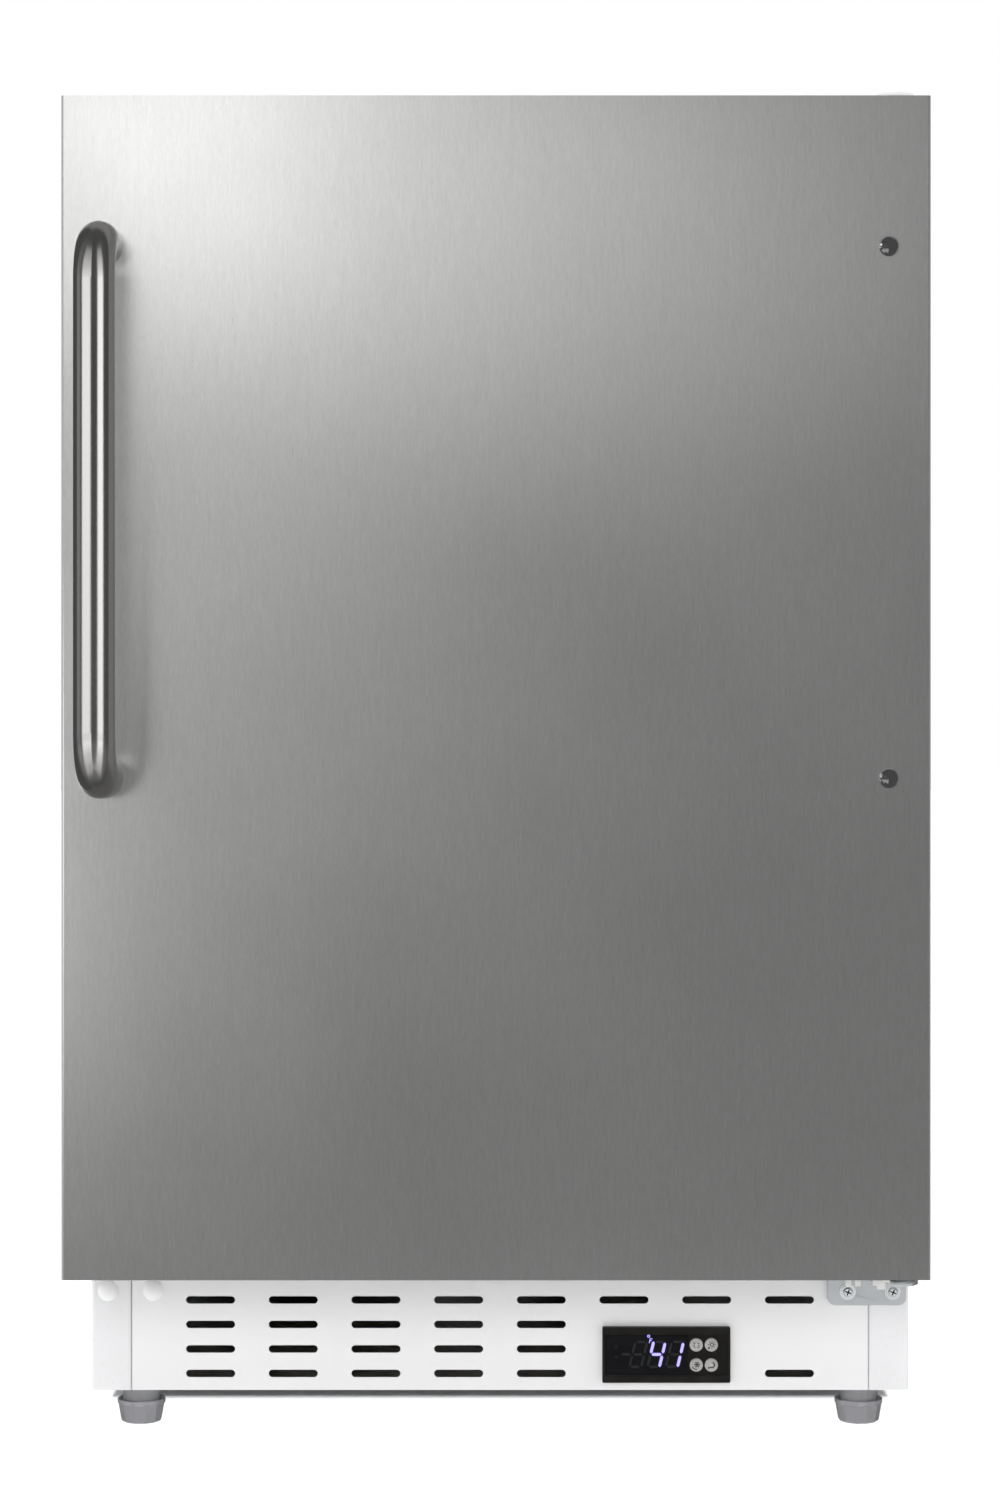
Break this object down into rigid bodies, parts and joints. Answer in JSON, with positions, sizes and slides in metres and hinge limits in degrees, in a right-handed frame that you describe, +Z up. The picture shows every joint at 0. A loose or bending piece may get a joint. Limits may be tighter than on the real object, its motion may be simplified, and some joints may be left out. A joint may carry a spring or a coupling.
{
  "type": "undercounter refrigerator",
  "caption": "Compact undercounter refrigerator with a steel-wrapped hinged door, tube handle, vented kick plate, panel controller, wire shelves and levelling feet.",
  "frame": {"origin": "on the floor, under the middle of the whole refrigerator's box: x = 0 is the middle of the door, and y = 0 is halfway from the handle's front to the cabinet's back", "axes": "+Z up, -Y the front with the door and handle, +X to the right as seen from the front, where the hinges are"},
  "size_m": [0.511, 0.627, 0.8085],
  "materials": {
    "cabinet_paint": "satin",
    "galvanised_sheet": "satin",
    "foam": "matte",
    "liner_plastic": "satin",
    "controller_plastic": "matte",
    "controller_glass": "gloss",
    "display_light": "satin",
    "hinge_zinc": "satin",
    "pin_steel": "satin",
    "white_plastic": "satin",
    "compressor_paint": "satin",
    "black_rubber": "matte",
    "fin_aluminium": "satin",
    "motor_metal": "satin",
    "copper_tube": "satin",
    "tray_plastic": "matte",
    "lamp_lens": "satin",
    "foot_plastic": "matte",
    "door_steel": "satin",
    "grey_plastic": "matte",
    "gasket_vinyl": "matte",
    "handle_steel": "satin",
    "bright_plug": "polished",
    "nylon": "matte",
    "button_grey": "satin",
    "shelf_wire": "gloss"
  },
  "bodies": {
    "cabinet": {"side_panel_left": "cabinet_paint", "side_panel_right": "cabinet_paint", "top_panel": "cabinet_paint", "kick_grille": "cabinet_paint", "rear_panel": "galvanised_sheet", "base_pan": "galvanised_sheet", "rear_cover": "galvanised_sheet", "insulation": "foam", "inner_liner": "liner_plastic", "evaporator_cover": "liner_plastic", "lamp_housing": "liner_plastic", "controller_housing": "controller_plastic", "terminal_box": "controller_plastic", "cord_gland": "controller_plastic", "condenser_fan_shroud": "controller_plastic", "controller_window": "controller_glass", "display_digits": "display_light", "lower_hinge_bracket": "hinge_zinc", "upper_hinge_bracket": "hinge_zinc", "hinge_screws": "hinge_zinc", "compressor_bolts": "hinge_zinc", "hinge_pins": "pin_steel", "temperature_probe": "pin_steel", "upper_hinge_cover": "white_plastic", "hole_caps": "white_plastic", "compressor": "compressor_paint", "compressor_grommets": "black_rubber", "condenser": "fin_aluminium", "evaporator": "fin_aluminium", "condenser_fan_motor": "motor_metal", "evaporator_fan_motor": "motor_metal", "filter_drier": "copper_tube", "refrigerant_lines": "copper_tube", "drip_tray": "tray_plastic", "lamp_diffuser": "lamp_lens", "rear_feet": "foot_plastic"},
    "door": {"door_skin": "door_steel", "door_foam": "foam", "door_liner": "liner_plastic", "door_top_cap": "grey_plastic", "door_bottom_cap": "grey_plastic", "door_gasket": "gasket_vinyl", "handle": "handle_steel", "handle_screws": "hinge_zinc", "plug_buttons": "bright_plug", "hinge_bushes": "nylon"},
    "condenser_fan_blade": {"condenser_fan_blade": "white_plastic"},
    "evaporator_fan_blade": {"evaporator_fan_blade": "controller_plastic"},
    "lamp_switch": {"lamp_switch": "white_plastic"},
    "button_set": {"button_set": "button_grey"},
    "button_light": {"button_light": "button_grey"},
    "button_frost": {"button_frost": "button_grey"},
    "button_night": {"button_night": "button_grey"},
    "shelf_1": {"shelf_1": "shelf_wire"},
    "shelf_2": {"shelf_2": "shelf_wire"},
    "shelf_3": {"shelf_3": "shelf_wire"},
    "foot_stud_left": {"foot_stud_left": "hinge_zinc"},
    "foot_cup_left": {"foot_cup_left": "foot_plastic"},
    "foot_stud_right": {"foot_stud_right": "hinge_zinc"},
    "foot_cup_right": {"foot_cup_right": "foot_plastic"}
  },
  "joints": [
    {"name": "door_swing", "type": "hinge", "parent": "cabinet", "child": "door", "pos_m": [0.2395, -0.222, 0.1045], "axis": [0, 0, 1], "range_deg": [0, 110]},
    {"name": "condenser_fan_spin", "type": "hinge", "parent": "cabinet", "child": "condenser_fan_blade", "pos_m": [0.0365, 0.215, 0.108], "axis": [1, 0, 0], "continuous": true},
    {"name": "evaporator_fan_spin", "type": "hinge", "parent": "cabinet", "child": "evaporator_fan_blade", "pos_m": [0.00235, 0.219, 0.64], "axis": [0, 1, 0], "continuous": true},
    {"name": "lamp_switch_rock", "type": "hinge", "parent": "cabinet", "child": "lamp_switch", "pos_m": [0.05235, -0.02, 0.7415], "axis": [1, 0, 0], "range_deg": [-24, 0]},
    {"name": "button_set_press", "type": "slide", "parent": "cabinet", "child": "button_set", "axis": [0, 1, 0], "range_m": [0, 0.0006], "stiffness_N_per_m": 600, "springref_m": -0.0005},
    {"name": "button_light_press", "type": "slide", "parent": "cabinet", "child": "button_light", "axis": [0, 1, 0], "range_m": [0, 0.0006], "stiffness_N_per_m": 600, "springref_m": -0.0005},
    {"name": "button_frost_press", "type": "slide", "parent": "cabinet", "child": "button_frost", "axis": [0, 1, 0], "range_m": [0, 0.0006], "stiffness_N_per_m": 600, "springref_m": -0.0005},
    {"name": "button_night_press", "type": "slide", "parent": "cabinet", "child": "button_night", "axis": [0, 1, 0], "range_m": [0, 0.0006], "stiffness_N_per_m": 600, "springref_m": -0.0005},
    {"name": "shelf_1_slide", "type": "slide", "parent": "cabinet", "child": "shelf_1", "axis": [0, -1, 0], "range_m": [0, 0.034]},
    {"name": "shelf_2_slide", "type": "slide", "parent": "cabinet", "child": "shelf_2", "axis": [0, -1, 0], "range_m": [0, 0.034]},
    {"name": "shelf_3_slide", "type": "slide", "parent": "cabinet", "child": "shelf_3", "axis": [0, -1, 0], "range_m": [0, 0.034]},
    {"name": "foot_left_height", "type": "slide", "parent": "cabinet", "child": "foot_stud_left", "axis": [0, 0, 1], "range_m": [-0.012, 0]},
    {"name": "foot_left_turn", "type": "hinge", "parent": "foot_stud_left", "child": "foot_cup_left", "pos_m": [-0.22015, -0.1585, 0], "axis": [0, 0, 1], "range_deg": [-2881, 1]},
    {"name": "foot_right_height", "type": "slide", "parent": "cabinet", "child": "foot_stud_right", "axis": [0, 0, 1], "range_m": [-0.012, 0]},
    {"name": "foot_right_turn", "type": "hinge", "parent": "foot_stud_right", "child": "foot_cup_right", "pos_m": [0.22485, -0.1585, 0], "axis": [0, 0, 1], "range_deg": [-2881, 1]}
  ],
  "couplings": [
    {"joint": "foot_left_turn", "follows": "foot_left_height", "rad_per_m": 4188.8},
    {"joint": "foot_right_turn", "follows": "foot_right_height", "rad_per_m": 4188.8}
  ]
}
